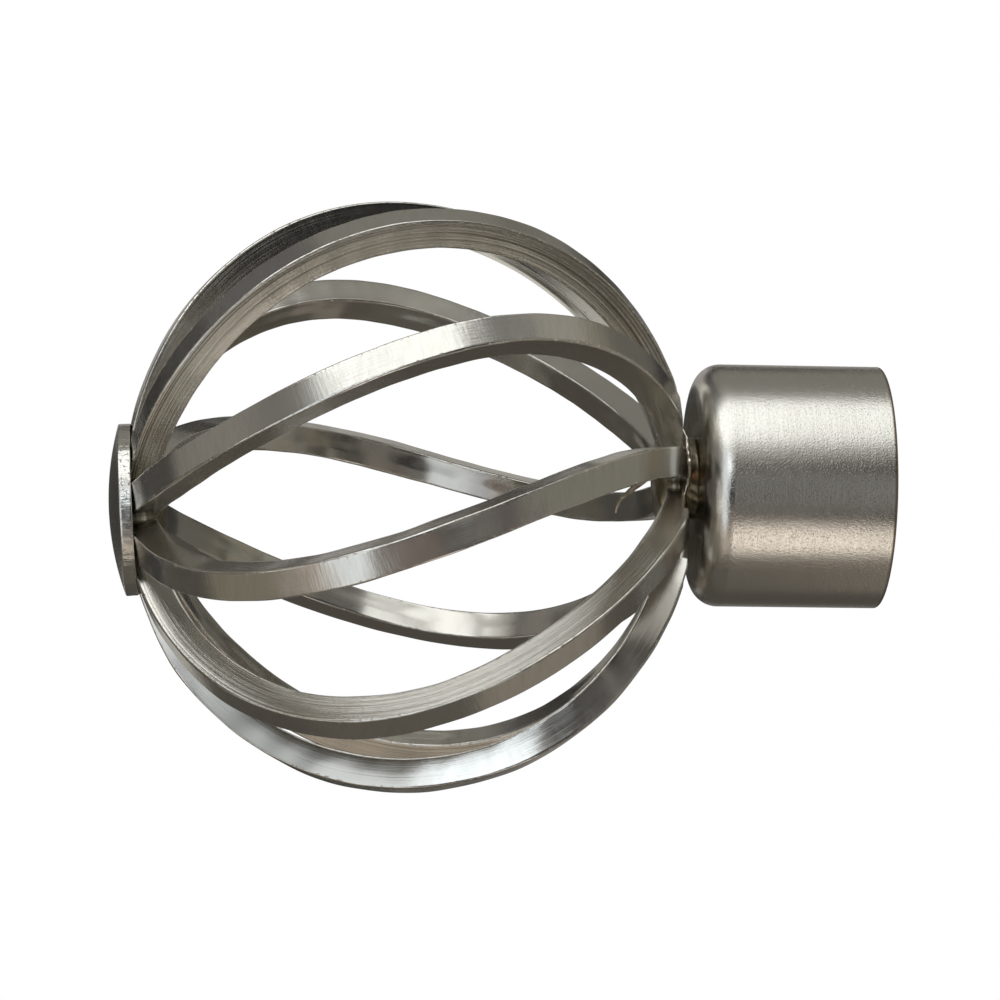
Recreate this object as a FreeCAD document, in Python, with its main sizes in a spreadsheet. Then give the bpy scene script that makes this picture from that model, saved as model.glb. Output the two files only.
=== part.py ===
import FreeCAD, Part
import math
import os

import Sketcher
from FreeCAD import Rotation, Vector

# Finial for a 28 mm curtain pole: a drawn cup that slides over the pole's end, a ball cage of
# square bars swept round the axis, and a dished disc over the bars' far ends.
# The origin is the centre of the cup's mouth. +X leaves the cup along the pole and +Z is up.

os.makedirs("parts", exist_ok=True)
doc = FreeCAD.newDocument("curtain_pole_finial")

# Driving sizes, in millimetres and degrees
driving_sizes = [
    ("pole_bore", 28.4, "bore of the cup, for a 28 mm pole"),
    ("cup_wall", 1.0, "sheet that the cup is drawn from"),
    ("cup_length", 23.4, "closed end to mouth, outside"),
    ("cup_corner", 3.2, "outside round of the closed end"),
    ("mouth_round", 0.35, "outside round of the mouth"),
    ("screw_hole", 3.3, "tapping hole for the grub screw"),
    ("screw_from_mouth", 9.0, "grub screw's centre from the mouth"),
    ("ball_across", 75.4, "cage over its bars, across the axis"),
    ("ball_along", 71.4, "cage over its bars, pole to pole, before the seat is flattened"),
    ("seat_depth", 2.1, "what the flat seat takes off the ball's end"),
    ("bar_count", 10, "bars in the cage"),
    ("bar_side", 3.9, "side of the square bar"),
    ("bar_arris", 0.3, "flat on each corner of the bar"),
    ("bar_start", 28.4, "angle of the first bar at the widest place, from the front upwards"),
    ("bar_sweep", 48.2, "angle that a bar sweeps round the axis from end to end"),
    ("sweep_ease", -0.45, "how far the sweep runs ahead between the widest place and the ends"),
    ("bar_turn", 3.9, "turn of the bar about its own line"),
    ("ring_play", 0.6, "how far from meeting its neighbours each bar stops"),
    ("disc_width", 21.4, "disc over its rim"),
    ("disc_sheet", 1.6, "disc's thickness"),
    ("disc_gap", 0.3, "air between the disc and the bars"),
    ("disc_slip", 0.2, "how far below the cage's own axis the disc is welded on"),
    ("disc_edge", 0.2, "chamfer on the disc's inner edge"),
    ("weld_gap", 1.9, "seat to cup, on the axis"),
    ("weld_foot", 7.6, "radius of the weld where it meets the seat and the cup"),
    ("weld_waist", 7.0, "radius of the weld between them"),
    ("weld_crown", 0.7, "how far a weld stands above the bars inside the cage"),
    ("weld_play", 0.05, "air between a weld and a curved face that it fills"),
    ("seat_up", 0.25, "seat's centre above the pole's line"),
    ("seat_forward", 1.1, "seat's centre in front of the pole's line"),
    ("lean_down", 3.45, "how far the cage hangs below the pole's line, in degrees"),
    ("lean_back", 2.3, "how far the cage leans away from the front, in degrees"),
]
sizes = doc.addObject("Spreadsheet::Sheet", "sizes")
for row, (alias, number, meaning) in enumerate(driving_sizes, start=1):
    sizes.set(f"A{row}", meaning)
    sizes.set(f"B{row}", str(number))
    sizes.setAlias(f"B{row}", alias)
doc.recompute()

# Bars were bent by hand. In degrees, how far each stands off its even place at the ball's widest,
# and how much further off it stands towards the disc than towards the cup.
stray_degrees = [-1.0, -0.3, 1.5, -0.2, 0.1, -0.8, 1.6, 6.5, -1.3, -1.5]
skew_degrees = [-0.5, 1.6, 1.1, -0.9, -0.7, -0.1, 1.0, 4.7, -0.5, 0.1]

# Distances worked out from the sizes, as expressions in the cage's own frame,
# whose origin is the centre of the flat seat and whose +X points at the cup
ball_middle = "(sizes.seat_depth - sizes.ball_along / 2)"
ring_radius = "(sizes.bar_side / 2 / tan(180 deg / sizes.bar_count) + sizes.ring_play)"
pole_curve = "(sizes.ball_across ^ 2 / sizes.ball_along / 2)"
disc_hollow = f"({pole_curve} + sizes.disc_gap)"
disc_centre = f"({ball_middle} - sizes.ball_along / 2 + {pole_curve})"


def value(expression):
    return float(sizes.evalExpression(expression))


def size(alias):
    return value("sizes." + alias)


def origin_plane(body, role):
    return next(item for item in body.Origin.OriginFeatures if item.Role == role)


def new_body(label):
    body = doc.addObject("PartDesign::Body", label)
    body.Label = label
    return body


def new_sketch(body, name, plane):
    sketch = body.newObject("Sketcher::SketchObject", name)
    sketch.AttachmentSupport = [(origin_plane(body, plane), "")]
    sketch.MapMode = "FlatFace"
    return sketch


def drive(sketch, kind, where, expression):
    # One dimension of the sketch, bound to the sheet
    index = sketch.addConstraint(Sketcher.Constraint(kind, *where, value(expression)))
    sketch.setExpression(f"Constraints[{index}]", expression)


def arc_between(start, end):
    # Arc from start to end whose centre lies on the axis of revolution
    middle = (start.x**2 + start.y**2 - end.x**2 - end.y**2) / 2 / (start.x - end.x)
    centre = Vector(middle, 0, 0)
    angles = [math.atan2(point.y, point.x - middle) for point in (start, end)]
    circle = Part.Circle(centre, Vector(0, 0, 1), start.distanceToPoint(centre))
    return Part.ArcOfCircle(circle, min(angles), max(angles)), angles[0] < angles[1]


def turned_body(label, outline):
    # Revolves an outline about X. Each corner is its distance along the axis and its radius,
    # then "arc" where the edge to the next corner belongs to a ball centred on the axis.
    body = new_body(label)
    sketch = new_sketch(body, label + "_outline", "XY_Plane")
    corners = [Vector(value(corner[0]), value(corner[1]), 0) for corner in outline]
    ends = []
    for index, corner in enumerate(outline):
        start, end = corners[index], corners[(index + 1) % len(corners)]
        if "arc" in corner:
            arc, forward = arc_between(start, end)
            edge = sketch.addGeometry(arc)
            sketch.addConstraint(Sketcher.Constraint("PointOnObject", edge, 3, -1))
            ends.append((edge, 1, 2) if forward else (edge, 2, 1))
        else:
            edge = sketch.addGeometry(Part.LineSegment(start, end))
            ends.append((edge, 1, 2))
    for index, corner in enumerate(outline):
        edge, first, last = ends[index]
        following, next_first, _ = ends[(index + 1) % len(ends)]
        sketch.addConstraint(Sketcher.Constraint("Coincident", edge, last, following, next_first))
        drive(sketch, "DistanceX", (-1, 1, edge, first), corner[0])
        drive(sketch, "DistanceY", (-1, 1, edge, first), corner[1])
    revolution = body.newObject("PartDesign::Revolution", label + "_turned")
    revolution.Profile = sketch
    revolution.ReferenceAxis = (sketch, ["H_Axis"])
    revolution.Angle = 360
    doc.recompute()
    return body


def edges_at(feature, along, radius):
    # Names of the round edges of a feature that lie at one place along the axis
    names = []
    for number, edge in enumerate(feature.Shape.Edges, start=1):
        if edge.Degenerated or not edge.isClosed():
            continue
        point = edge.valueAt(edge.FirstParameter)
        if math.hypot(math.hypot(point.y, point.z) - radius, point.x - along) < 1e-4:
            names.append(f"Edge{number}")
    return names


def dress(body, kind, name, along, radius, amount):
    # Rounds or chamfers the edge at one place along the axis of a turned body
    base = body.Tip
    names = edges_at(base, value(along), value(radius))
    feature = body.newObject("PartDesign::" + kind, name)
    feature.Base = (base, names)
    feature.setExpression("Radius" if kind == "Fillet" else "Size", amount)
    doc.recompute()


# Every piece of the cage leans with it: the cage is welded on slightly out of line
lean = (
    "create(<<rotation>>; create(<<vector>>; 0; 1; 0); -sizes.lean_down) * "
    "create(<<rotation>>; create(<<vector>>; 0; 0; 1); -sizes.lean_back)"
)
seat_place = (
    "create(<<vector>>; -sizes.cup_length - sizes.weld_gap; -sizes.seat_forward; sizes.seat_up)"
)


def lean_with_cage(piece, own_place=""):
    piece.setExpression("Placement", f"create(<<placement>>; {seat_place}; {lean}){own_place}")


# Cup: a flat-ended sleeve with a blind bore
outside = "sizes.pole_bore / 2 + sizes.cup_wall"
inner_end = "sizes.cup_wall - sizes.cup_length"
cup = turned_body("pole_cup", [
    ("-sizes.cup_length", "0"),
    ("-sizes.cup_length", outside),
    ("0", outside),
    ("0", "sizes.pole_bore / 2"),
    (inner_end, "sizes.pole_bore / 2"),
    (inner_end, "0"),
])
dress(cup, "Fillet", "cup_corner_round", "-sizes.cup_length", outside, "sizes.cup_corner")
dress(cup, "Fillet", "cup_inner_round", inner_end, "sizes.pole_bore / 2",
      "sizes.cup_corner - sizes.cup_wall")
dress(cup, "Fillet", "cup_mouth_round", "0", outside, "sizes.mouth_round")

# Grub screw's hole, through the back wall only
screw_sketch = new_sketch(cup, "screw_hole_outline", "XZ_Plane")
screw_circle = screw_sketch.addGeometry(
    Part.Circle(Vector(-size("screw_from_mouth"), 0, 0), Vector(0, 0, 1), size("screw_hole") / 2)
)
screw_sketch.addConstraint(Sketcher.Constraint("PointOnObject", screw_circle, 3, -1))
drive(screw_sketch, "DistanceX", (-1, 1, screw_circle, 3), "-sizes.screw_from_mouth")
drive(screw_sketch, "Diameter", (screw_circle,), "sizes.screw_hole")
whole_cup = cup.Shape.Volume
screw_pocket = cup.newObject("PartDesign::Pocket", "screw_hole_cut")
screw_pocket.Profile = screw_sketch
screw_pocket.setExpression("Length", "sizes.pole_bore / 2 + 2 * sizes.cup_wall")
doc.recompute()
hole_area = math.pi * size("screw_hole") ** 2 / 4
if not 0.9 < (whole_cup - cup.Shape.Volume) / hole_area / size("cup_wall") < 1.2:
    raise RuntimeError("the grub screw's hole does not go through one wall")

# Disc: sheet of even thickness, dished to lie over the ball's far end
rim = "sizes.disc_width / 2"
rim_inside = f"{disc_centre} - sqrt({disc_hollow} ^ 2 - ({rim}) ^ 2)"
disc = turned_body("end_disc", [
    (f"{disc_centre} - {disc_hollow}", "0", "arc"),
    (rim_inside, rim),
    (f"{rim_inside} - sizes.disc_sheet", rim, "arc"),
    (f"{disc_centre} - {disc_hollow} - sizes.disc_sheet", "0"),
])
dress(disc, "Chamfer", "disc_edge_chamfer", rim_inside, rim, "sizes.disc_edge")
no_turn = "create(<<rotation>>; 0; 0; 0)"
lean_with_cage(
    disc, f" * create(<<placement>>; create(<<vector>>; 0; 0; -sizes.disc_slip); {no_turn})"
)

# Weld that fills the ring of bar ends under the disc
slug = f"{ring_radius} - sizes.weld_play"
disc_side = f"({disc_hollow} - sizes.weld_play - sizes.disc_slip * ({slug}) / {disc_hollow})"
bar_line = "(sizes.ball_along - sizes.bar_side) / 2"
disc_slug_top = f"{ball_middle} - {bar_line} + sizes.bar_side / 2"
disc_weld = turned_body("disc_weld", [
    (f"{disc_centre} - {disc_side}", "0", "arc"),
    (f"{disc_centre} - sqrt({disc_side} ^ 2 - ({slug}) ^ 2)", slug),
    (disc_slug_top, slug),
    (f"{disc_slug_top} + sizes.weld_crown", f"({slug}) / 2"),
    (f"{disc_slug_top} + sizes.weld_crown", "0"),
])
lean_with_cage(disc_weld)

# Weld between the seat and the cup: a slug inside the ring of bar ends and a waisted neck,
# cut off where it meets the cup's flat end
neck_reach = "(sizes.weld_gap + sizes.weld_foot * tan(sizes.lean_down + sizes.lean_back))"
cup_slug_top = f"{ball_middle} + {bar_line} - sizes.bar_side / 2"
neck = turned_body("weld_neck", [
    (f"{cup_slug_top} - sizes.weld_crown", "0"),
    (f"{cup_slug_top} - sizes.weld_crown", f"({slug}) / 2"),
    (cup_slug_top, slug),
    ("0", slug),
    ("0", "sizes.weld_foot"),
    ("sizes.weld_gap / 2", "sizes.weld_waist"),
    (neck_reach, "sizes.weld_foot"),
    (neck_reach, "0"),
])
lean_with_cage(neck)
cup_side = doc.addObject("Part::Cylinder", "cup_side")
cup_side.setExpression("Radius", outside)
cup_side.setExpression("Height", "2 * sizes.cup_length")
cup_side.Placement.Rotation = Rotation(Vector(0, 1, 0), 90)
cup_side.setExpression(".Placement.Base.x", "-sizes.cup_length")
cup_weld = doc.addObject("Part::Cut", "cup_weld")
cup_weld.Label = "cup_weld"
cup_weld.Base = neck
cup_weld.Tool = cup_side

# Bars of the cage. The centre line lies on a ball of radii across and along. At the polar
# angle a from the disc's end it is along * -cos(a) along the axis and across * sin(a) from it,
# and the angle round the axis grows evenly with a, but for the ease and the bar's own bend,
# which is its start, stray and skew.
across = (size("ball_across") - size("bar_side")) / 2
along = (size("ball_along") - size("bar_side")) / 2
middle = value(ball_middle)
ring = value(ring_radius)
bar_count = round(size("bar_count"))
stations = 25
end_inside_ring = 0.9  # share of the ring's radius where the bar's own line ends, before it is cut


def bar_point(polar, around):
    reach = across * math.sin(polar)
    return Vector(middle - along * math.cos(polar), -reach * math.cos(around), reach * math.sin(around))


def bar_angle(polar, bend):
    start, stray, skew = bend
    sweep = size("bar_sweep") * (polar / math.pi - 0.5)
    ease = size("sweep_ease") * math.sin(2 * polar)
    own = (stray * math.sin(polar) + skew * math.sin(2 * polar)) * math.sin(polar)
    return math.radians(start + own + sweep + ease)


def bar_section(polar, bend):
    # Square with flattened corners, square to the bar's line and with one side facing outwards
    step = 1e-4
    before, here, after = (
        bar_point(polar + shift, bar_angle(polar + shift, bend)) for shift in (-step, 0, step)
    )
    forward = (after - before).normalize()
    outward = Vector((here.x - middle) / along**2, here.y / across**2, here.z / across**2)
    sideways = forward.cross(outward).normalize()
    outward = sideways.cross(forward)
    turn = math.radians(size("bar_turn"))
    out = outward * math.cos(turn) + sideways * math.sin(turn)
    side = sideways * math.cos(turn) - outward * math.sin(turn)
    half = size("bar_side") / 2
    cut = half - size("bar_arris") / math.sqrt(2)
    corners = [(half, cut), (cut, half), (-cut, half), (-half, cut)]
    corners += [(-a, -b) for a, b in corners]
    points = [here + out * a + side * b for a, b in corners]
    return Part.makePolygon(points + points[:1])


def bar_shape(bend):
    first = math.asin(end_inside_ring * ring / across)
    angles = [first + (math.pi - 2 * first) * k / (stations - 1) for k in range(stations)]
    whole = Part.makeLoft([bar_section(angle, bend) for angle in angles], True, False)
    span = 2 * size("ball_along")
    ring_core = Part.makeCylinder(ring, 2 * span, Vector(-span, 0, 0), Vector(1, 0, 0))
    beyond_seat = Part.makeCylinder(span, span, Vector(), Vector(1, 0, 0))
    return whole.cut(ring_core.fuse(beyond_seat))


bars = []
for index in range(bar_count):
    bar = doc.addObject("Part::Feature", f"cage_bar_{index + 1:02d}")
    bar.Label = f"cage_bar_{index + 1:02d}"
    start = size("bar_start") + 360 * index / bar_count
    own = index % len(stray_degrees)
    bar.Shape = bar_shape((start, stray_degrees[own], skew_degrees[own]))
    lean_with_cage(bar)
    bars.append(bar)
doc.recompute()

# Every object must have built, and every piece must be one valid closed solid
for item in doc.Objects:
    if "Invalid" in item.State or "Error" in item.State:
        raise RuntimeError(f"{item.Name} did not build")
pieces = [cup, disc, disc_weld, cup_weld] + bars
for piece in pieces:
    shape = piece.Shape
    if shape.isNull() or not shape.isValid() or len(shape.Solids) != 1:
        raise RuntimeError(f"{piece.Label} is not one valid solid")
    shape.exportStep(f"parts/{piece.Label}.step")
    print(piece.Label, "volume", round(shape.Volume, 1), "mm3")
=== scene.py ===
import math

import bpy
import numpy as np
from mathutils import Euler, Matrix, Vector


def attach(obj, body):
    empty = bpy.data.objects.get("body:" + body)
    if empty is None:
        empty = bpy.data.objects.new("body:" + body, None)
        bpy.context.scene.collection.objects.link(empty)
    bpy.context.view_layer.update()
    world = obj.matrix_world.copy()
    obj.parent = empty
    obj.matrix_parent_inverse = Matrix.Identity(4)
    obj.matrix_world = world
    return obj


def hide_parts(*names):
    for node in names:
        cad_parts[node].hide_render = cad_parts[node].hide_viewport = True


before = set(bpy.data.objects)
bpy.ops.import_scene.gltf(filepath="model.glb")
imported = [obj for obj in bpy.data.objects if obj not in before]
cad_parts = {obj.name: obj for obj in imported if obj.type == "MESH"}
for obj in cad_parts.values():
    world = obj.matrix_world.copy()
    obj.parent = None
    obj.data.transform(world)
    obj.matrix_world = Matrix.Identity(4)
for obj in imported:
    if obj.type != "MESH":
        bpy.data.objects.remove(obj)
for name in ("Cube", "Light", "Camera"):               # what a new file starts with
    if name in bpy.data.objects:
        bpy.data.objects.remove(bpy.data.objects[name])
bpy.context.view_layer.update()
print("frame loaded:", len(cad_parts), "nodes")

# Lengths in the dictionaries are millimetres and angles are degrees, unless a note says otherwise


def putInMesh(name, points, faces, faceUv, finish, slot, *nodes):
    # one object of some sets of faces, with a UV for each face corner, riding on the body and
    # standing for CAD nodes
    corner = points[faces[0][:, :3]]
    volume = np.einsum("ij,ij->i", corner[:, 0], np.cross(corner[:, 1], corner[:, 2])).sum()
    if volume < 0:                                     # the rows ran the other way: turn every face
        faces, faceUv = [part[:, ::-1] for part in faces], [part[:, ::-1] for part in faceUv]
    mesh = bpy.data.meshes.new(name)
    mesh.from_pydata(points / 1000, [], sum((part.tolist() for part in faces), []))
    corners = np.concatenate([part.ravel() for part in faceUv]).astype(np.float32)
    mesh.uv_layers.new(name="surface").uv.foreach_set("vector", corners)
    mesh.polygons.foreach_set("use_smooth", np.ones(len(mesh.polygons), bool))
    mesh.materials.append(finish)
    mesh.validate()
    thing = bpy.data.objects.new(name, mesh)
    bpy.context.scene.collection.objects.link(thing)
    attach(thing, "root")
    if nodes:
        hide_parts(*nodes)
    return thing


def wrappedQuads(rows, columns):
    # quads between neighbouring rows of a grid whose columns close on themselves
    row, column = np.meshgrid(np.arange(rows - 1), np.arange(columns), indexing="ij")
    following = (column + 1) % columns
    here, above = row * columns, (row + 1) * columns
    corners = [here + column, here + following, above + following, above + column]
    return np.stack(corners, -1).reshape(-1, 4)


def wrappedUv(uv):
    # the same quads' corners in a UV grid that has one column more, for the seam
    return np.stack([uv[:-1, :-1], uv[:-1, 1:], uv[1:, 1:], uv[1:, :-1]], 2).reshape(-1, 4, 2)


def tubeMesh(name, grid, uv, finish, slot, *nodes):
    # a grid of rows round a form; a fan of triangles closes each end
    rows, columns = grid.shape[:2]
    points = np.concatenate([grid.reshape(-1, 3), grid[:1].mean(1), grid[-1:].mean(1)])
    column = np.arange(columns)
    following = (column + 1) % columns
    lastRow = (rows - 1) * columns
    middle = np.full(columns, rows * columns)          # the first row's; the last row's follows it
    startFan = np.stack([middle, following, column], -1)
    endFan = np.stack([lastRow + column, lastRow + following, middle + 1], -1)
    startUv = np.stack([uv[0, :-1], uv[0, 1:], uv[0, :-1]], 1)
    endUv = np.stack([uv[-1, :-1], uv[-1, 1:], uv[-1, 1:]], 1)
    return putInMesh(name, points, [wrappedQuads(rows, columns), startFan, endFan],
                     [wrappedUv(uv), startUv, endUv], finish, slot, *nodes)


def ripple(seed, *waves):
    # A smooth random field of two coordinates. Each wave is given by its length and its height, and is
    # a sum of five sines with random directions and phases
    draw = np.random.default_rng(seed)
    parts = [(2 * np.pi / length * draw.normal(0, 0.6, 2), draw.uniform(0, 2 * np.pi), height)
             for length, height in waves for _ in range(5)]
    return lambda a, b: sum(height / 2 * np.sin(push[0] * a + push[1] * b + phase)
                            for push, phase, height in parts)


class Wire:
    # a shader socket; arithmetic on it adds Math nodes
    def __init__(self, finish, socket):
        self.finish, self.socket = finish, socket

    def __add__(self, other):
        return self.finish.work("ADD", self, other)

    def __radd__(self, other):
        return self.finish.work("ADD", other, self)

    def __sub__(self, other):
        return self.finish.work("SUBTRACT", self, other)

    def __rsub__(self, other):
        return self.finish.work("SUBTRACT", other, self)

    def __mul__(self, other):
        return self.finish.work("MULTIPLY", self, other)

    def __rmul__(self, other):
        return self.finish.work("MULTIPLY", other, self)

    def __pow__(self, other):
        return self.finish.work("POWER", self, other)

    def __abs__(self):
        return self.finish.work("ABSOLUTE", self)

    def rise(self, low, high):
        # 0 below low, 1 above high, eased between them
        return self.finish.node("ShaderNodeMapRange", {"interpolation_type": "SMOOTHSTEP"},
                                {"Value": self, "From Min": low, "From Max": high})


class Finish:
    # the nodes of one material, or of the world, under construction
    def __init__(self, owner):
        owner.use_nodes = True
        self.owner, self.tree = owner, owner.node_tree
        self.tree.nodes.clear()

    def node(self, kind, settings=None, inputs=None, output=0):
        # an input is a value or the wire that feeds it
        made = self.tree.nodes.new(kind)
        for key, setting in (settings or {}).items():
            setattr(made, key, setting)
        for key, given in (inputs or {}).items():
            if isinstance(given, Wire):
                self.tree.links.new(given.socket, made.inputs[key])
            else:
                made.inputs[key].default_value = given
        return Wire(self, made.outputs[output]) if len(made.outputs) else None

    def work(self, operation, *values, clamp=False):
        return self.node("ShaderNodeMath", {"operation": operation, "use_clamp": clamp},
                         dict(enumerate(values)))

    def apart(self, vector):
        return [self.node("ShaderNodeSeparateXYZ", {}, {0: vector}, k) for k in range(3)]

    def vector(self, *parts):
        return self.node("ShaderNodeCombineXYZ", {}, dict(enumerate(parts)))

    def noise(self, vector, scale=1.0, detail=2.0, roughness=0.5):
        # a field about 0, mostly within half a unit either way
        made = self.node("ShaderNodeTexNoise", {"noise_dimensions": "3D"},
                         {"Vector": vector, "Scale": scale, "Detail": detail, "Roughness": roughness})
        return made - 0.5

    def mix(self, share, first, second):
        # from the first colour to the second, each three numbers or a wire
        colours = {key: (*given, 1.0) if isinstance(given, tuple) else given
                   for key, given in ((6, first), (7, second))}
        return self.node("ShaderNodeMix", {"data_type": "RGBA"}, {0: share, **colours}, 2)

    def metal(self, colour, roughness, height):
        # a metal of that colour and roughness; height is relief in millimetres
        relief = self.node("ShaderNodeBump", {}, {"Strength": 1.0, "Distance": 0.001, "Height": height})
        shader = self.node("ShaderNodeBsdfPrincipled", {"distribution": "MULTI_GGX"},
                           {"Base Color": colour, "Roughness": roughness, "Metallic": 1.0,
                            "Normal": relief})
        self.node("ShaderNodeOutputMaterial", {}, {"Surface": shader})
        return self.owner


nickel = {
    "clean": (0.61, 0.59, 0.55),      # satin nickel plate, linear colour
    "dullAndShade": (0.43, 0.40, 0.325),      # duller plate, and painted shade on the bars' inner faces and sides
    "deep": (0.13, 0.115, 0.095),     # painted shade at the bottom of pits and drawn lines
    "straw": (0.50, 0.40, 0.25),      # heat tint round the welds
    "rust": (0.42, 0.17, 0.05),
    "chip": (0.85, 0.75, 0.67),       # pinkish metal where an edge is nicked
    "neckShade": (0.17, 0.145, 0.10),     # painted shade of the gap between the cage and the cup, on the neck
    "mouth": (0.26, 0.19, 0.13),      # brown stain on the cup's cut edge
}


def barFinish():
    # Square bar: UV is millimetres along the bar and round it from the middle of the outer face.
    # The outer face is brushed across, the two sides keep drawn lines along the bar.
    look = {
        "brush": 0.015,               # relief of the brushing across the outer face
        "brushLeft": 0.0008,          # what the other faces have of it
        "scratches": 0.012,           # relief of the long scratches on the outer face
        "drawn": 0.06,                # relief of the drawn lines on the sides
        "dents": 0.09,                # slow waves from bending by hand
        "peel": 0.005,                # grain of the plate
        "grit": 0.009,                # grain between the drawn lines
        "nicks": 0.10,                # depth of the nicks in the arrises
        "nickReach": (0.12, 0.60),    # distance from an arris to which they are full, and where they end
        "roughness": 0.19,
        "corner": 1.86,               # distance round the bar from the middle of a face to its corner
        "turning": 0.2,               # half the width over which one face becomes the next
    }
    finish = Finish(bpy.data.materials.new("drawnNickelBar"))
    place = finish.node("ShaderNodeTexCoord", output=2)
    along, around, _ = finish.apart(place)
    reach = abs(around)
    corner, turning = look["corner"], look["turning"]
    inner = reach.rise(3 * corner - turning, 3 * corner + turning)
    outer = 1 - reach.rise(corner - turning, corner + turning)
    sides = 1 - inner - outer
    nearCorner = 1 - abs(abs(reach - 2 * corner) - corner).rise(*look["nickReach"])

    across = finish.noise(finish.vector(along * 2.6, around * 0.2, 0), detail=4.0, roughness=0.7)
    streaks = finish.noise(finish.vector(along * 0.9 + around * 0.3, around * 0.25, 5), detail=2.0)
    lines = finish.noise(finish.vector(along * 0.004, around * 3.2, 3), detail=3.0, roughness=0.65)
    dents = finish.noise(finish.vector(along * 0.13, around * 0.16, 1), detail=1.0)
    grain = finish.noise(finish.vector(along, around, 7), scale=2.6, detail=2.0)
    chips = finish.noise(finish.vector(along * 1.8, around * 1.8, 11), detail=4.0, roughness=0.8)
    chipped = (chips * nearCorner).rise(0.06, 0.11)
    wander = finish.noise(finish.vector(along * 0.06, around * 0.2, 15), detail=1.0)
    deeply = finish.node("ShaderNodeAttribute", {"attribute_name": "drawn"}, output=2)
    grooved = sides * deeply * (0.9 + wander * 0.8)    # how much a side shows its drawn lines

    height = (across * (outer * look["brush"] + look["brushLeft"])
              + lines * (grooved * look["drawn"] + outer * look["scratches"])
              + dents * (1 - inner * 0.7) * look["dents"]
              + grain * (outer * look["peel"] + grooved * look["grit"])
              - chipped * look["nicks"])
    # The fixed shares for the inner face and the sides are painted shade, darker than the outer face; the
    # drawn-line and random shares are wear
    worn = finish.work("ADD", 0.08 + inner * 0.10 + sides * (0.04 + deeply * 0.12),
                       across * outer * 0.5 + streaks * outer * 0.5 + lines * grooved, clamp=True)
    colour = finish.mix(worn, nickel["clean"], nickel["dullAndShade"])
    # painted shade in the drawn lines on the sides
    colour = finish.mix((lines * grooved).rise(0.08, 0.2) * 0.6, colour, nickel["deep"])
    colour = finish.mix(chipped * 0.9, colour, nickel["chip"])
    roughness = look["roughness"] + across * 0.08 + streaks * 0.05 - nearCorner * 0.06
    return finish.metal(colour, roughness, height)


def cupFinish():
    # Drawn cup: brushed round its axis, with the plate's sparkling grain and heat tint by the weld.
    look = {
        "brush": 0.004,               # relief of the rings
        "peel": 0.042,                # relief of the grain
        "waves": 0.012,               # slow unevenness
        "roughness": 0.24,
        "tintRadius": 8.3,            # where the heat tint is strongest on the closed end
        "tintWidth": (0.3, 2.4),      # distance from there to which it is full, and where it ends
        "closedEnd": -23.1,           # place along X from which it fades towards the mouth
        "tintDepth": 1.2,             # distance in which it fades
        "stain": (-0.55, -0.25),      # where the mouth's stain begins and is full
    }
    finish = Finish(bpy.data.materials.new("brushedNickelCup"))
    place = finish.node("ShaderNodeTexCoord", output=3)
    alongM, acrossM, upM = finish.apart(place)         # in metres
    along, across, up = alongM * 1000, acrossM * 1000, upM * 1000
    radius = (across * across + up * up) ** 0.5
    reach = along + radius * 0.9                       # runs on over the corner round
    rings = finish.noise(finish.vector(reach * 4.0, across * 0.12, up * 0.12), detail=4.0, roughness=0.7)
    bands = finish.noise(finish.vector(reach * 0.35, across * 0.05, up * 0.05), detail=1.0)
    grain = finish.noise(finish.vector(along, across, up), scale=4.6, detail=2.0, roughness=0.6)
    waves = finish.noise(finish.vector(along * 0.25, across * 0.25, up * 0.25), detail=1.0)
    sparkle = grain * (0.45 + 0.55 * grain.rise(0.02, 0.2))
    height = rings * look["brush"] + sparkle * look["peel"] + waves * look["waves"]
    byWeld = 1 - along.rise(look["closedEnd"], look["closedEnd"] + look["tintDepth"])
    tint = byWeld * (1 - abs(radius - look["tintRadius"]).rise(*look["tintWidth"]))
    worn = finish.work("ADD", 0.12 + bands * 0.2 + rings * 0.5, grain * 0.5, clamp=True)
    colour = finish.mix(worn, nickel["clean"], nickel["dullAndShade"])
    colour = finish.mix(tint * 0.75, colour, nickel["straw"])
    colour = finish.mix(along.rise(*look["stain"]) * 0.8, colour, nickel["mouth"])
    roughness = look["roughness"] + rings * 0.08 + bands * 0.05
    return finish.metal(colour, roughness, height)


def discFinish():
    # Pressed disc: UV is millimetres round the rim and across the profile from the outer face's middle.
    look = {
        "rimStart": 10.75,            # way along the profile to the sheared rim, and to its end
        "rimEnd": 12.5,
        "teeth": 0.05,                # relief of the shear marks across the rim
        "pits": 0.08,                 # depth of the pits in it
        "waves": 0.02,                # slow unevenness
        "grain": 0.003,
        "roughness": 0.28,
    }
    finish = Finish(bpy.data.materials.new("pressedNickelDisc"))
    place = finish.node("ShaderNodeTexCoord", output=2)
    around, profile, _ = finish.apart(place)
    onRim = profile.rise(look["rimStart"] - 0.15, look["rimStart"] + 0.1) * (
        1 - profile.rise(look["rimEnd"] - 0.1, look["rimEnd"] + 0.15))
    teeth = finish.noise(finish.vector(around * 2.6, profile * 0.30, 0), detail=3.0, roughness=0.6)
    crumbs = finish.noise(finish.vector(around * 2.2, profile * 2.2, 4), detail=3.0, roughness=0.7)
    spot = finish.node("ShaderNodeTexCoord", output=3)
    grain = finish.noise(spot, scale=3500.0, detail=2.0)
    waves = finish.noise(spot, scale=300.0, detail=1.0)
    pits = (crumbs * onRim).rise(0.08, 0.2)
    height = (teeth * onRim * look["teeth"] - pits * look["pits"]
              + grain * look["grain"] + waves * look["waves"])
    # painted shade at the bottom of the rim's pits
    colour = finish.mix(pits * 0.8, nickel["clean"], nickel["deep"])
    roughness = look["roughness"] + grain * 0.08 - onRim * 0.10
    return finish.metal(colour, roughness, height)


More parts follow.
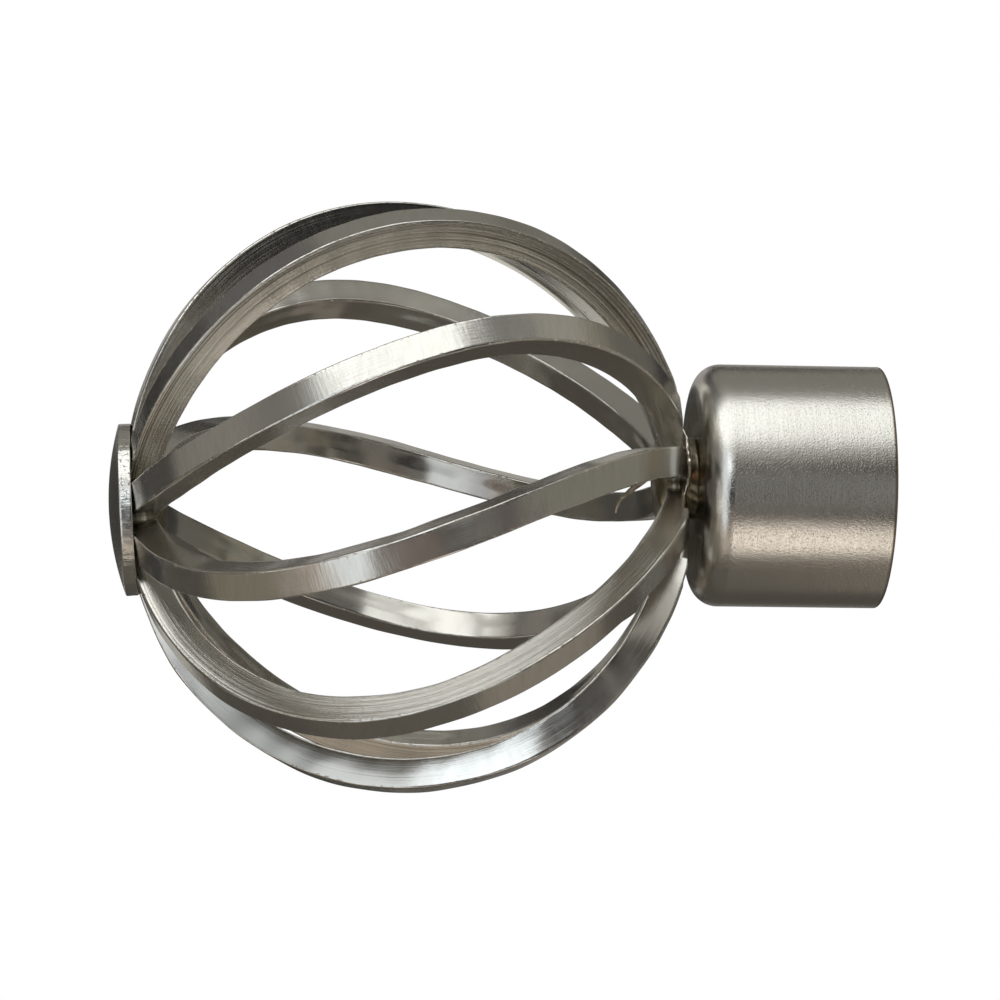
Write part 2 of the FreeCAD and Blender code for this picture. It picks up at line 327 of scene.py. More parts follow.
def weldFinish():
    # Weld metal under the plate: pale and brown patches, with rust where the plate is thin; painted shade
    # makes it black in the pits and dark on the neck, in the gap to the cup.
    look = {
        "pale": (0.40, 0.37, 0.29),
        "brown": (0.24, 0.20, 0.125),
        "neck": (-26.2, -25.2),       # places along X between which the cage's weld becomes the neck's
        "rustSpot": (-24.3, -6.6, 1.1),                # on the neck's front
        "rustReach": (0.5, 1.3),      # distance from there to which it is full, and where it ends
        "lumps": (0.16, 0.14),        # relief, and how much less the neck has of it
        "grain": (0.03, 0.015),
        "pits": 0.1,
        "roughness": 0.32,
    }
    finish = Finish(bpy.data.materials.new("platedWeld"))
    spot = finish.node("ShaderNodeTexCoord", output=3)
    lumps = finish.noise(spot, scale=500.0, detail=2.0)
    grain = finish.noise(spot, scale=3200.0, detail=2.0)
    patches = finish.noise(spot, scale=330.0, detail=2.0)
    pits = grain.rise(0.14, 0.24)
    toCup = (finish.apart(spot)[0] * 1000).rise(*look["neck"])
    height = (lumps * (look["lumps"][0] - toCup * look["lumps"][1])
              + grain * (look["grain"][0] - toCup * look["grain"][1]) - pits * look["pits"])
    colour = finish.mix(patches.rise(-0.12, 0.10), look["pale"], look["brown"])
    # painted shade of the gap between the cage and the cup, darkening the neck
    colour = finish.mix(toCup * 0.85, colour, nickel["neckShade"])
    rustSpot = tuple(part / 1000 for part in look["rustSpot"])
    away = finish.node("ShaderNodeVectorMath", {"operation": "DISTANCE"}, {0: spot, 1: rustSpot}, 1)
    rusty = finish.work("ADD", patches.rise(0.16, 0.24), 1 - (away * 1000).rise(*look["rustReach"]),
                        clamp=True)
    colour = finish.mix(rusty * 0.8, colour, nickel["rust"])
    # painted shade at the bottom of the pits
    colour = finish.mix(pits * 0.9, colour, nickel["deep"])
    roughness = look["roughness"] + grain * 0.2
    return finish.metal(colour, roughness, height)


def beadFinish():
    # The thin shiny bead and the whisker of filler: bright metal with fine wrinkles across it.
    look = {"wrinkles": 0.015, "roughness": 0.24}
    finish = Finish(bpy.data.materials.new("shinyFiller"))
    place = finish.node("ShaderNodeTexCoord", output=2)
    along, around, _ = finish.apart(place)
    wrinkles = finish.noise(finish.vector(along * 2.2, around * 0.5, 0), detail=2.0)
    stains = finish.noise(finish.vector(along * 0.7, around * 0.7, 3), detail=2.0)
    colour = finish.mix(stains.rise(-0.15, 0.12), nickel["chip"], nickel["dullAndShade"])
    return finish.metal(colour, look["roughness"] + stains * 0.15, wrinkles * look["wrinkles"])


def screwFinish():
    # Blackened steel with paler patches.
    look = {"black": (0.09, 0.09, 0.095), "worn": (0.16, 0.155, 0.15), "roughness": 0.38, "grain": 0.006}
    finish = Finish(bpy.data.materials.new("blackenedScrew"))
    spot = finish.node("ShaderNodeTexCoord", output=3)
    grain = finish.noise(spot, scale=5000.0, detail=2.0)
    patches = finish.noise(spot, scale=900.0, detail=2.0)
    colour = finish.mix(patches.rise(-0.1, 0.2), look["black"], look["worn"])
    return finish.metal(colour, look["roughness"] + grain * 0.2, grain * look["grain"])


barNickel, cupNickel, discNickel = barFinish(), cupFinish(), discFinish()
weldMetal, fillerMetal, screwSteel = weldFinish(), beadFinish(), screwFinish()
print("finishes ready")


cage = {
    "seat": (-25.3, -1.1, 0.25),      # centre of the flat seat, which is the cage's own origin
    "leanDown": 3.45,
    "leanBack": 2.3,
    "middle": -33.6,                  # ball's middle, behind the seat
    "across": 75.4,                   # over the bars
    "along": 71.4,
    "ring": 6.6,                      # radius at which the bars stop, round the axis
}
cageTurn = np.array(Matrix.Rotation(-math.radians(cage["leanDown"]), 3, "Y")
                    @ Matrix.Rotation(-math.radians(cage["leanBack"]), 3, "Z"))


def leanWithCage(points):
    # from the cage's own frame, whose X points at the cup, into the finial's
    return points @ cageTurn.T + np.array(cage["seat"])


bar = {
    "count": 10,
    "side": 3.9,
    "cornerRound": 0.32,
    "firstAngle": 28.4,               # of bar 1 at the ball's widest, from the front upwards
    "sweep": 48.2,                    # angle that a bar runs round the axis from end to end
    "ease": -0.45,                    # how far it is ahead of an even sweep a quarter of the way along
    "turn": 3.9,                      # of the bar about its own line
    "startShare": 0.97,               # of the ring's radius, where a bar's centre line starts
    # off the even places, from bending by hand: at the widest, and how much further nearer the disc
    "stray": (-1.0, -0.3, 1.5, -0.2, 0.1, -0.8, 1.6, 6.5, -1.3, -1.5),
    "skew": (-0.5, 1.6, 1.1, -0.9, -0.7, -0.1, 1.0, 4.7, -0.5, 0.1),
    "drawn": (0.45, 2.2, 0.5, 0.15, 0.2, 0.3, 0.5, 0.2, 0.7, 0.4),     # how deep its sides' lines are
    # twists left by the bending jig: bar, place along it, reach along it, degrees
    "kinks": ((8, 14, 6, 8), (8, 74, 11, 8.5)),
    "waves": ((14.0, 0.05), (5.0, 0.02)),              # lengths and heights of the faces' unevenness
    "wavesSeed": 40,                  # of bar 1; each further bar has the next
    "inset": 0.08,                    # how far the faces lie inside the solid bar's, on average
    "stations": 200,
    "patternStep": 200,               # in UV, so that no bar repeats another's pattern
}


def barLine(polar, index):
    # Centre line on a ball of two radii: at the polar angle a from the disc's end it is
    # -cos(a) along the axis and sin(a) from it, and its angle round the axis grows with a
    across, along = ((cage[key] - bar["side"]) / 2 for key in ("across", "along"))
    around = np.radians(bar["firstAngle"] + 360 * index / bar["count"]
                        + bar["stray"][index] * np.sin(polar) ** 2
                        + bar["skew"][index] * np.sin(2 * polar) * np.sin(polar)
                        + bar["sweep"] * (polar / np.pi - 0.5) + bar["ease"] * np.sin(2 * polar))
    reach = across * np.sin(polar)
    line = np.stack([cage["middle"] - along * np.cos(polar),
                     -reach * np.cos(around), reach * np.sin(around)], -1)
    outward = (line - np.array([cage["middle"], 0, 0])) / np.array([along, across, across]) ** 2
    return line, outward


def unit(vectors):
    return vectors / np.linalg.norm(vectors, axis=-1, keepdims=True)


def roundedSquare(half, corner):
    # Outline of the bar's section from the middle of its inner face round to it again: on each side
    # a flat, then a quarter circle; gives places, outward directions and the way round to each
    flat = half - corner
    onFlat = (-1, -0.9, -1 / 3, 0, 1 / 3, 0.9, 1)      # as shares of half the flat, closer by its ends
    steps = np.concatenate([onFlat, np.ones(5)])
    bends = np.radians(np.concatenate([np.zeros(len(onFlat)), np.linspace(15, 75, 5)]))
    places, outwards = [], []
    for side in range(4):
        start = np.pi / 2 * side
        out = np.array([np.cos(start), np.sin(start)])
        cross = np.array([-np.sin(start), np.cos(start)])
        outward = np.stack([np.cos(start + bends), np.sin(start + bends)], -1)
        places.append(out * flat + np.outer(steps * flat, cross) + outward * corner)
        outwards.append(outward)
    # the middle of the inner face, which is side 2, comes first
    first = 2 * len(bends) + len(onFlat) // 2
    places = np.roll(np.concatenate(places), -first, 0)
    outwards = np.roll(np.concatenate(outwards), -first, 0)
    chords = np.linalg.norm(np.diff(np.concatenate([places, places[:1]]), axis=0), axis=1)
    wayRound = np.concatenate([[0], np.cumsum(chords)])
    return places, outwards, wayRound - wayRound[-1] / 2


def makeBar(index):
    # The rounded square carried along the bar's line, with one side out but turned a little
    start = math.asin(cage["ring"] * bar["startShare"] / (cage["across"] - bar["side"]) * 2)
    polar = np.linspace(start, np.pi - start, bar["stations"])
    nudge = 1e-4                                       # radians to either side, for the line's direction
    line, outward = barLine(polar, index)
    ahead = unit(barLine(polar + nudge, index)[0] - barLine(polar - nudge, index)[0])
    sideways = unit(np.cross(ahead, outward))
    outward = np.cross(sideways, ahead)
    length = np.concatenate([[0], np.cumsum(np.linalg.norm(np.diff(line, axis=0), axis=1))])
    turn = np.full(len(length), float(bar["turn"]))
    for which, place, reach, degrees in bar["kinks"]:  # each is a bell curve along the bar
        if which == index + 1:
            turn += degrees * np.exp(-((length - place) / reach) ** 2)
    turn = np.radians(turn)[:, None]
    out = outward * np.cos(turn) + sideways * np.sin(turn)
    side = sideways * np.cos(turn) - outward * np.sin(turn)
    places, outwards, wayRound = roundedSquare(bar["side"] / 2, bar["cornerRound"])
    swell = ripple(bar["wavesSeed"] + index, *bar["waves"])(length[:, None], wayRound[None, :-1] * 0.5)
    section = places[None] + outwards[None] * (swell - bar["inset"])[..., None]
    grid = line[:, None] + out[:, None] * section[..., :1] + side[:, None] * section[..., 1:]
    grid[..., 0] = np.minimum(grid[..., 0], 0)         # the flat seat
    uv = np.stack(np.broadcast_arrays(length[:, None] + bar["patternStep"] * index, wayRound[None]), -1)
    made = tubeMesh(f"cageBar{index + 1:02d}", leanWithCage(grid), uv, barNickel, "nickel_bar",
                    f"cage_bar_{index + 1:02d}")
    drawn = made.data.attributes.new("drawn", "FLOAT", "POINT")
    drawn.data.foreach_set("value", np.full(len(made.data.vertices), bar["drawn"][index], np.float32))


for index in range(bar["count"]):
    makeBar(index)
print("bars ready")


def turnedUv(columns, radius, way):
    # millimetres round a turned piece, at that radius, and along its profile
    angle = np.linspace(0, 2 * np.pi, columns + 1)
    return np.stack(np.broadcast_arrays(angle[None] * radius, way[:, None]), -1)


def turnedGrid(profile, columns, uvRadius, swell, centre=(0, 0)):
    # A profile of distances along X and radii, carried round the axis, and its UV. Swell adds to the
    # radius: it is a function of the way along the profile and of the angle, which is 0 at the front
    # and grows towards the top
    angle = np.linspace(0, 2 * np.pi, columns, endpoint=False)
    way = np.concatenate([[0], np.cumsum(np.linalg.norm(np.diff(profile, axis=0), axis=1))])
    radius = profile[:, 1:] + swell(way[:, None], angle[None])
    along = np.broadcast_to(profile[:, :1], radius.shape)
    grid = np.stack([along, centre[0] - radius * np.cos(angle), centre[1] + radius * np.sin(angle)], -1)
    return grid, turnedUv(columns, uvRadius, way)


def roundedCorner(before, corner, after, size):
    # a quadratic curve between points of the two straight runs that far from their corner, or just
    # short of half a run away where the run is short
    a = corner + unit(before - corner) * min(size, np.linalg.norm(before - corner) * 0.49)
    b = corner + unit(after - corner) * min(size, np.linalg.norm(after - corner) * 0.49)
    t = np.linspace(0, 1, 6)[:, None]
    return (1 - t) ** 2 * a + 2 * t * (1 - t) * corner + t ** 2 * b


disc = {
    "width": 21.4,
    "sheet": 1.6,
    "gap": 0.3,                       # air between the disc and the bars
    "dish": 35.0,                     # radius it is pressed to, a little less than the cage's own
    "slip": 0.2,                      # how far below the cage's axis it is welded on
    "burr": 0.16,                     # round of its outer edge
    "chamfer": 0.22,
    "bumps": ((6.0, 0.03), (1.2, 0.02)),               # lengths and heights of the rim's unevenness
    "bumpsSeed": 7,
    "inset": 0.02,                    # how far the rim lies inside its width, on average
    "thinner": 0.01,                  # than the sheet, on the outer face
    "nearAxis": 0.15,                 # radius where the profile begins and ends
    "stations": 40,                   # on each face
    "columns": 320,
}


def makeDisc():
    # Sheet dished to a ball: an arc for the outer face, a sheared rim and an arc for the inner face
    pole = cage["middle"] - cage["along"] / 2 - disc["gap"]
    rim = disc["width"] / 2
    radii = np.linspace(disc["nearAxis"], rim, disc["stations"])
    inside = pole + disc["dish"] - np.sqrt(disc["dish"] ** 2 - radii ** 2)
    outer = np.stack([inside - disc["sheet"] + disc["thinner"], radii], -1)
    inner = np.stack([inside, radii], -1)[::-1]
    burr = roundedCorner(outer[-3], outer[-1], inner[0], disc["burr"])
    chamfer = roundedCorner(outer[-1], inner[0], inner[2], disc["chamfer"])
    sheared = np.linspace(burr[-1], chamfer[0], 8)[1:-1]
    profile = np.concatenate([outer[:-1], burr, sheared, chamfer, inner[1:]])
    bumps = ripple(disc["bumpsSeed"], *disc["bumps"])
    onRim = np.clip((profile[:, 1:] - rim + 0.5) / 0.4, 0, 1)      # grows over the last half millimetre

    def swell(way, angle):
        return onRim * bumps(angle * rim, way * 0.3) - disc["inset"] * onRim

    grid, uv = turnedGrid(profile, disc["columns"], rim, swell, (0, -disc["slip"]))
    tubeMesh("dishedDisc", leanWithCage(grid), uv, discNickel, "nickel_disc", "end_disc")


makeDisc()

weld = {
    "neckGap": 1.9,                   # seat to cup, on the axis
    "intoCup": 0.04,                  # how far the neck runs into the cup's closed end
    "neck": 5.4,                      # radius of the bead where it fills the gap
    "neckBelow": 4.3,                 # the same on the lower front, where the gap is left open
    "openAngle": 55,                  # from the front down to the middle of that part
    "crown": 1.3,                     # how far the welds stand above the bars inside the cage
    "overEnds": 0.1,                  # how far they stand over the ring of bar ends
    "lumps": ((6.0, 0.26), (2.4, 0.03)),               # lengths and heights of the lumps
    "neckSeed": 21,
    "farSeed": 33,
    "lumpsReach": 6.5,                # radius of the circle on which the field of lumps is read
    "melting": 8,                     # passes that soften the neck's corners
    "nearAxis": 0.2,                  # radius where a profile begins and ends
    "columns": 144,
}


def filledIn(corners, count):
    # that many places along the straight runs between a profile's corners
    corners = np.array(corners)
    places = np.linspace(0, len(corners) - 1, count)
    return np.stack([np.interp(places, np.arange(len(corners)), corners[:, k]) for k in (0, 1)], -1)


def awayFromAxis(profile):
    # 0 by the axis and 1 at the weld's edge, so that lumps don't meet at a point
    return np.clip(profile[:, 1:] / cage["ring"] * 1.4 - 0.3, 0, 1)


def weldSwell(seed, share):
    # the field is read on a circle that drifts with the way along, so the lumps meet after a turn
    field, reach = ripple(seed, *weld["lumps"]), weld["lumpsReach"]
    return lambda way, angle: share * field(reach * np.cos(angle) + way * 0.6,
                                            reach * np.sin(angle) + way)


def makeNeckWeld():
    # A turned lump with random swells, which fills the ring of bar ends at the seat and goes on as the
    # neck to the cup; each pair is a place along the axis and a radius
    ring, edge, nearAxis = cage["ring"], cage["ring"] + weld["overEnds"], weld["nearAxis"]
    seatTop = cage["middle"] + (cage["along"] - bar["side"]) / 2 - bar["side"] / 2
    crown, neck, gap = seatTop - weld["crown"], weld["neck"], weld["neckGap"]
    profile = filledIn([(crown - 0.3, nearAxis), (crown - 0.2, ring * 0.5), (crown + 0.3, ring * 0.8),
                        (seatTop + 0.4, edge), (-0.35, edge), (-0.1, neck - 0.2), (0.5, neck + 0.15),
                        (gap / 2, neck), (gap - 0.4, neck + 0.1), (gap + 0.5, neck + 0.3),
                        (gap + 0.5, nearAxis)], 70)
    for _ in range(weld["melting"]):
        profile[1:-1] = (profile[:-2] + 2 * profile[1:-1] + profile[2:]) / 4
    neckPart = np.clip((profile[:, :1] + 0.4) / 0.5, 0, 1)         # 0 in the cage, 1 past the seat
    free = awayFromAxis(profile)
    lumps = weldSwell(weld["neckSeed"], free)

    def swell(way, angle):
        below = np.clip(np.cos(angle + math.radians(weld["openAngle"])) * 1.6, 0, 1)
        return lumps(way, angle) - neckPart * free * below * (weld["neck"] - weld["neckBelow"])

    grid, uv = turnedGrid(profile, weld["columns"], ring, swell)
    grid = leanWithCage(grid)
    grid[..., 0] = np.minimum(grid[..., 0], cage["seat"][0] + gap + weld["intoCup"])
    tubeMesh("neckWeld", grid, uv, weldMetal, "weld_metal", "cup_weld")


def makeFarWeld():
    # A turned lump with random swells, which fills the ring of bar ends under the disc
    ring, edge, nearAxis = cage["ring"], cage["ring"] + weld["overEnds"], weld["nearAxis"]
    top = cage["middle"] - (cage["along"] - bar["side"]) / 2 + bar["side"] / 2
    face, crown = top - bar["side"] - 0.1, top + weld["crown"]
    profile = filledIn([(face, nearAxis), (face + 0.05, ring * 0.5), (face + 0.25, ring - 0.3),
                        (face + 0.8, edge), (top - 0.3, edge), (top + 0.2, ring * 0.86),
                        (crown, ring * 0.45), (crown + 0.1, nearAxis)], 50)
    free = awayFromAxis(profile) * np.clip(profile[:, :1] - top + 1.5, 0, 1)
    grid, uv = turnedGrid(profile, weld["columns"], ring, weldSwell(weld["farSeed"], free))
    tubeMesh("farWeld", leanWithCage(grid), uv, weldMetal, "weld_metal", "disc_weld")


makeNeckWeld()
makeFarWeld()

filler = {
    # a thin bead over the front bars' ends and a whisker of wire left inside: the places it runs
    # through, its radii at the start, middle and end, and how uneven it is
    "bead": (((-25.9, -8.3, 7.0), (-25.5, -9.1, 5.6), (-25.3, -9.5, 4.0), (-25.2, -9.7, 2.5),
              (-25.2, -9.7, 1.2), (-25.4, -9.7, 0.0), (-25.8, -9.4, -1.6)), (0.1, 0.27, 0.1), 0.3),
    "whisker": (((-30.6, -17.6, 1.6), (-31.7, -16.2, 0.35), (-32.7, -14.9, -0.5), (-33.4, -14.0, -1.25),
                 (-34.0, -13.4, -1.9), (-34.3, -13.0, -2.5), (-34.45, -12.7, -3.1), (-34.55, -12.5, -3.65)),
                (0.42, 0.36, 0.16), 0.04),
    "columns": 24,
    "steps": 8,                       # from one place to the next
}


def makeFiller(name, seed):
    # A tube along a smooth curve through the places (each stretch is a cubic that runs from one place
    # to the next, parallel at each to the line between its neighbours)
    places, radii, rough = (np.array(given, float) for given in filler[name])
    padded = np.concatenate([2 * places[:1] - places[1:2], places, 2 * places[-1:] - places[-2:-1]])
    t = np.linspace(0, 1, filler["steps"], endpoint=False)[None, :, None]
    p0, p1, p2, p3 = (padded[k:len(padded) - 3 + k, None] for k in range(4))
    line = (p1 + 0.5 * t * (p2 - p0 + t * (2 * p0 - 5 * p1 + 4 * p2 - p3
                                           + t * (3 * (p1 - p2) + p3 - p0)))).reshape(-1, 3)
    ahead = unit(np.gradient(line, axis=0))
    side = unit(np.cross(ahead, (0.3, 1, 0.2)))        # a direction that the line never takes
    up = np.cross(ahead, side)
    length = np.concatenate([[0], np.cumsum(np.linalg.norm(np.diff(line, axis=0), axis=1))])
    angle = np.linspace(0, 2 * np.pi, filler["columns"], endpoint=False)
    radius = np.interp(length / length[-1], (0, 0.5, 1), radii)[:, None]
    unevenness = ripple(seed, (1.6, rough), (0.7, rough / 2))
    radius = radius * (1 + unevenness(length[:, None], angle[None] * 0.3))
    grid = (line[:, None] + (radius * np.cos(angle))[..., None] * side[:, None]
            + (radius * np.sin(angle))[..., None] * up[:, None])
    uv = turnedUv(filler["columns"], radii[1], length)[..., ::-1]
    tubeMesh(name, grid, uv, fillerMetal, "weld_metal")


makeFiller("bead", 61)
makeFiller("whisker", 62)
print("disc and welds ready")


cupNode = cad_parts["pole_cup"]
cupNode.data.materials.clear()
cupNode.data.materials.append(cupNickel)

screw = {
    "fromMouth": 9.0,
    "bore": 14.2,                     # its tip is flush with the socket's wall
    "length": 4.0,
    "width": 3.9,
    "pitch": 0.7,
    "threadDepth": 0.4,
    "runOut": 0.5,                    # length of the thread's fading at either end
    "hollow": 0.25,                   # depth of the hollow in its tip
    "hexFlats": 2.0,
    "hexDepth": 1.6,
    "stations": 97,
    "columns": 96,
}


def makeScrew():
    # Threaded pin with a hollow tip and a hexagon socket. The radius of the thread is a triangle wave
    # of the distance along less the turn round; the socket's wall has the radius of a hexagon
    radius, length, hollow = screw["width"] / 2, screw["length"], screw["hollow"]
    angle = np.linspace(0, 2 * np.pi, screw["columns"], endpoint=False)
    along = np.linspace(0, length, screw["stations"])
    taper = np.clip(np.minimum(along, length - along) / screw["runOut"], 0, 1)[:, None]
    phase = (along[:, None] / screw["pitch"] - angle[None] / (2 * np.pi)) % 1
    thread = radius - screw["threadDepth"] * (1 - np.abs(phase * 2 - 1) * taper)
    hexagon = screw["hexFlats"] / 2 / np.cos((angle + np.pi / 6) % (np.pi / 3) - np.pi / 6)
    socketEnd = length - screw["hexDepth"]
    ring = np.ones_like(angle)
    rows = [(hollow, ring * 0.1), (hollow, ring * radius * 0.4), (0.0, ring * radius * 0.55)]
    rows += list(zip(along, thread))
    rows += [(length, hexagon + 0.12), (length - 0.1, hexagon), (socketEnd, hexagon),
             (socketEnd - 0.3, hexagon * 0.1)]
    reach = np.stack([row[1] for row in rows])
    out = np.broadcast_to(np.array([row[0] for row in rows])[:, None] + screw["bore"], reach.shape)
    grid = np.stack([reach * np.cos(angle) - screw["fromMouth"], out, reach * np.sin(angle)], -1)
    uv = turnedUv(screw["columns"], radius, np.arange(len(rows)) * 0.05)
    tubeMesh("grubScrew", grid, uv, screwSteel, "nickel_cup")


makeScrew()
print("cup and screw ready")


# Studio. The finial hangs in a tent of softly lit sheets, with boxes and strips of light in it, over a
# pale floor. The sheets and lights show in the metal but not to the camera, which sees a white ground.

def whiteWhereSeen(finish, plain, white, share=1.0):
    # white for the camera, mirrors and glass; plain for soft light
    seen = [finish.node("ShaderNodeLightPath", output=name)
            for name in ("Is Camera Ray", "Is Glossy Ray", "Is Transmission Ray")]
    either = finish.work("MAXIMUM", finish.work("MAXIMUM", seen[0], seen[1]), seen[2])
    return finish.node("ShaderNodeMixShader", {}, {0: either * share, 1: plain, 2: white})


lights = {
    # boxes and strips: centre, half the width and half the height as vectors, colour, light
    "highBox": ((-70, -258, 400), (190, 0, 0), (0, 242, 0), (0.97, 1.0, 1.0), 1.8),
    "highLeft": ((-355, -245, 400), (95, 0, 0), (0, 255, 0), (0.98, 1.0, 1.0), 2.0),
    "highEdge": ((0, -540, 330), (130, 0, 0), (0, 40, 70), (1.0, 0.98, 0.92), 0.6),
    "window": ((-325, -640, 245), (225, 0, 0), (0, 0, 120), (0.83, 0.92, 1.0), 2.7),
    "windowFoot": ((-350, -700, 50), (150, 0, 0), (0, 0, 75), (0.93, 0.97, 1.0), 0.8),
    "stripTop": ((-440, -555, 185), (118, -94, 0), (0, 0, 155), (0.84, 0.93, 1.0), 0.5),
    "stripFoot": ((-440, -555, -125), (118, -94, 0), (0, 0, 155), (0.85, 0.88, 1.0), 0.9),
    "nearStrip": ((-175, -227, -35), (48, -41, 0), (0, 0, 185), (0.89, 0.95, 1.0), 1.25),
    "nearGlow": ((-282, -148, -60), (60, 40, 0), (0, 0, 120), (1.0, 0.99, 0.97), 0.6),
    "lowLeft": ((-275, -337, -280), (78, -64, 0), (-167, -199, 0), (1.0, 0.87, 0.72), 0.62),
    "lowNear": ((-105, -180, -284), (40, -32, 0), (-25, -31, 0), (1.0, 0.94, 0.86), 2.0),
    "lowBox": ((42, -232, -250), (48, 0, 0), (0, 112, 0), (1.0, 0.92, 0.83), 1.65),
}

# The tent's walls: the axis that each stands across (0 for X) and its place on it
walls = {"front": (1, -702), "darkFront": (1, -704), "left": (0, -802), "right": (0, 702),
         "roof": (2, 602), "base": (2, -292), "back": (1, 724), "nearBack": (1, 714)}

tent = {
    # sheets: wall, from and to along it, from and to up it (back on the roof and base), colour, light
    "frontLeft": ("front", (-800, -500), (-290, 600), (1.0, 1.0, 1.0), 0.2),
    "frontHigh": ("front", (-500, -200), (150, 600), (0.93, 0.94, 1.0), 0.68),
    "frontOver": ("front", (-200, 50), (150, 600), (1.0, 0.88, 0.8), 0.35),
    "frontDark": ("darkFront", (-500, 50), (-290, 150), (1.0, 1.0, 1.0), 0.01),
    "frontRight": ("front", (50, 330), (-290, 150), (1.0, 1.0, 0.97), 0.31),
    "frontCorner": ("front", (330, 700), (-290, 150), (1.0, 0.9, 0.9), 0.14),
    "frontShade": ("front", (50, 700), (150, 600), (1.0, 1.0, 1.0), 0.01),
    "leftLow": ("left", (-700, -250), (-290, 0), (1.0, 0.99, 0.95), 1.35),
    "leftHigh": ("left", (-700, -250), (0, 600), (1.0, 0.97, 0.9), 0.22),
    "leftBase": ("left", (-250, 250), (-290, 0), (1.0, 0.92, 0.75), 0.12),
    "leftWall": ("left", (-250, 250), (0, 600), (1.0, 0.95, 0.87), 0.3),
    "leftBack": ("left", (250, 720), (-290, 600), (1.0, 0.95, 0.9), 0.09),
    "rightLow": ("right", (-700, 250), (-290, 100), (1.0, 0.97, 0.85), 0.27),
    "rightHigh": ("right", (-700, 250), (100, 600), (1.0, 0.93, 0.74), 0.34),
    "rightBack": ("right", (250, 720), (-290, 600), (1.0, 0.96, 0.85), 0.17),
    "roofFront": ("roof", (-300, 200), (-700, -200), (1.0, 0.96, 0.86), 1.6),
    "roofFrontLeft": ("roof", (-800, -300), (-700, -200), (1.0, 0.99, 0.92), 0.92),
    "roofFrontRight": ("roof", (200, 700), (-700, -200), (1.0, 0.99, 0.97), 0.26),
    "roofLeft": ("roof", (-800, -300), (-200, 720), (1.0, 0.97, 0.96), 0.16),
    "roofMiddle": ("roof", (-300, 200), (-200, 720), (1.0, 0.97, 0.88), 0.28),
    "roofRight": ("roof", (200, 700), (-200, 250), (1.0, 0.97, 0.88), 0.42),
    "roofCorner": ("roof", (200, 700), (250, 720), (1.0, 0.96, 0.86), 0.2),
    "baseFrontLeft": ("base", (-800, -300), (-700, -250), (1.0, 0.82, 0.72), 0.5),
    "baseLeft": ("base", (-800, -300), (-250, 150), (1.0, 0.92, 0.73), 0.26),
    "baseFront": ("base", (-300, 50), (-700, -250), (1.0, 0.84, 0.74), 0.23),
    "baseMiddle": ("base", (-300, 50), (-250, 150), (1.0, 0.93, 0.8), 0.14),
    "baseShade": ("base", (50, 350), (-700, -250), (1.0, 1.0, 1.0), 0.02),
    "baseRight": ("base", (50, 700), (-250, 150), (1.0, 0.9, 0.78), 0.31),
    "baseCorner": ("base", (350, 700), (-700, -250), (1.0, 0.88, 0.65), 0.26),
    "baseBack": ("base", (-800, 700), (150, 720), (1.0, 0.92, 0.8), 0.1),
    "backWall": ("back", (-800, 700), (-290, 600), (1.0, 0.97, 0.9), 0.045),
    "backSheet": ("nearBack", (-200, -20), (60, 170), (1.0, 0.95, 0.93), 0.45),
    "backHaze": ("nearBack", (-200, -20), (170, 320), (1.0, 0.96, 0.93), 0.6),
    "backBeside": ("nearBack", (0, 150), (60, 320), (1.0, 0.97, 0.9), 0.5),
    "backLeft": ("nearBack", (-450, -200), (60, 320), (1.0, 0.97, 0.9), 0.38),
    "backFoot": ("nearBack", (-450, -200), (-290, -110), (1.0, 0.98, 0.88), 0.5),
    "backFootRight": ("nearBack", (-20, 150), (-290, -110), (1.0, 0.95, 0.9), 0.28),
    "backCorner": ("nearBack", (150, 700), (320, 600), (1.0, 0.96, 0.85), 0.23),
}


def placeFlat(name, centre, wide, tall, finish):
    # a rectangle of the stage: its centre plus and minus half its width and half its height
    centre, wide, tall = (np.array(given) / 1000 for given in (centre, wide, tall))
    mesh = bpy.data.meshes.new(name)
    mesh.from_pydata([centre + x * wide + y * tall for x, y in ((-1, -1), (1, -1), (1, 1), (-1, 1))],
                     [], [(0, 1, 2, 3)])
    mesh.materials.append(finish.owner)
    flat = bpy.data.objects.new(name, mesh)
    bpy.context.scene.collection.objects.link(flat)
    return flat


def placePanel(name, centre, wide, tall, colour, light):
    finish = Finish(bpy.data.materials.new(name))
    shine = finish.node("ShaderNodeEmission", {}, {"Color": (*colour, 1.0), "Strength": light})
    finish.node("ShaderNodeOutputMaterial", {}, {"Surface": shine})
    placeFlat(name, centre, wide, tall, finish).visible_camera = False


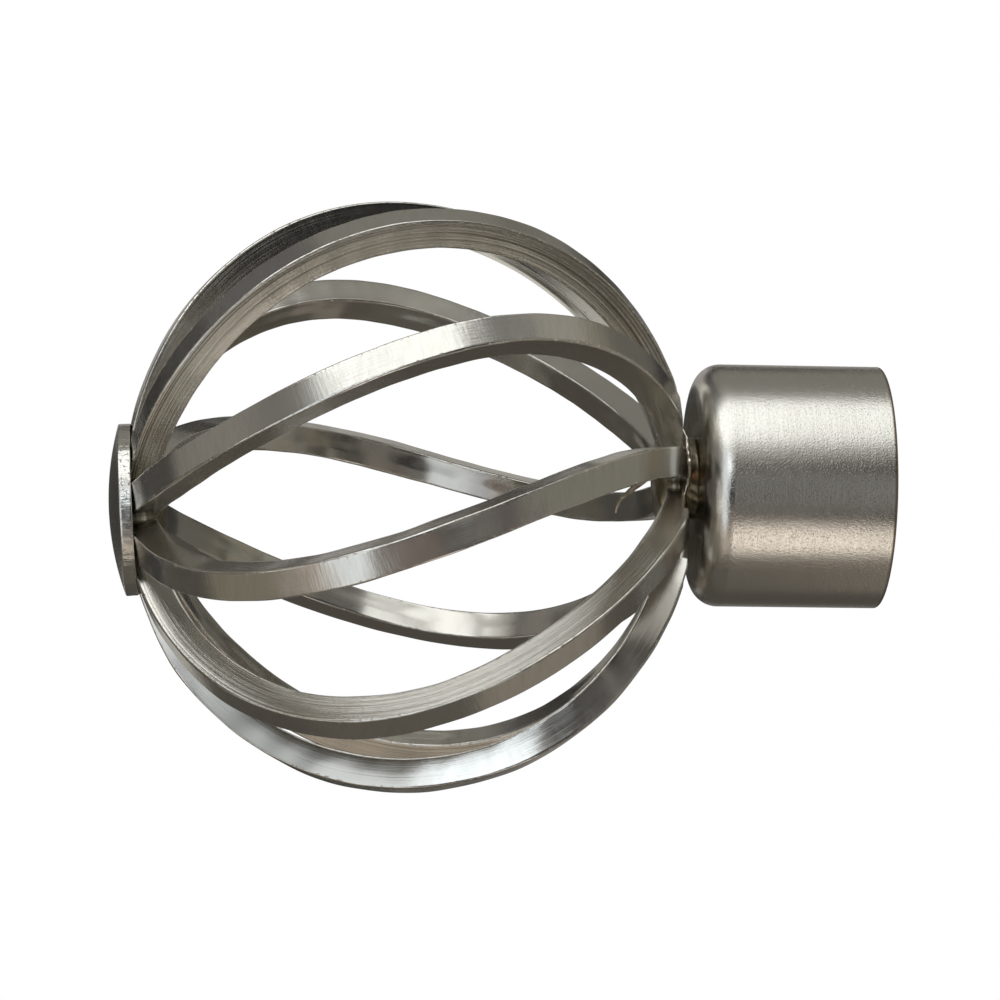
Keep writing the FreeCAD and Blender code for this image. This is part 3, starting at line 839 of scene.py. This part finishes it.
def placeSheet(name, wall, wideReach, tallReach, colour, light):
    # a panel on one of the tent's walls, which has the other two axes
    axis, place = walls[wall]
    first, second = [k for k in range(3) if k != axis]
    centre, wide, tall = np.zeros((3, 3))
    centre[[axis, first, second]] = place, sum(wideReach) / 2, sum(tallReach) / 2
    wide[first] = (wideReach[1] - wideReach[0]) / 2
    tall[second] = (tallReach[1] - tallReach[0]) / 2
    placePanel(name, centre, wide, tall, colour, light)


for name, facts in lights.items():
    placePanel(name, *facts)
for name, facts in tent.items():
    placeSheet(name, *facts)

ground = {
    "below": 300.0,
    "reach": 1200.0,
    "paint": 0.85,
    "white": 0.9,                     # the rest of the floor's white is its paint, with the shadow
    "softLight": 0.45,                # of the world, which the camera sees as white
}

pale = Finish(bpy.data.materials.new("paleFloor"))
paint = pale.node("ShaderNodeBsdfDiffuse", {}, {"Color": (*[ground["paint"]] * 3, 1.0)})
white = pale.node("ShaderNodeEmission", {}, {"Color": (1, 1, 1, 1), "Strength": 1.0})
pale.node("ShaderNodeOutputMaterial", {},
          {"Surface": whiteWhereSeen(pale, paint, white, ground["white"])})
placeFlat("floor", (0, 0, -ground["below"]), (ground["reach"], 0, 0), (0, ground["reach"], 0), pale)

world = bpy.data.worlds.new("studio")
bpy.context.scene.world = world
sky = Finish(world)
soft = sky.node("ShaderNodeBackground", {}, {"Color": (*[ground["softLight"]] * 3, 1.0)})
white = sky.node("ShaderNodeBackground", {}, {"Color": (1, 1, 1, 1), "Strength": 1.0})
sky.node("ShaderNodeOutputWorld", {}, {"Surface": whiteWhereSeen(sky, soft, white)})

view = {
    "place": (-97.22, -535.41, -2.21),                 # in front of the disc's side of the finial
    "turn": (90.0, -0.79, -5.29),                      # about X, Y and Z
    "lens": 154.86,
    "sensor": 36.0,
}
camera = bpy.data.objects.new("camera", bpy.data.cameras.new("camera"))
camera.data.lens = view["lens"]
camera.data.sensor_width = view["sensor"]
camera.location = Vector(view["place"]) / 1000
camera.rotation_euler = Euler([math.radians(angle) for angle in view["turn"]])
bpy.context.scene.collection.objects.link(camera)
bpy.context.scene.camera = camera
bpy.context.scene.view_settings.view_transform = "Standard"
print("stage and camera ready")
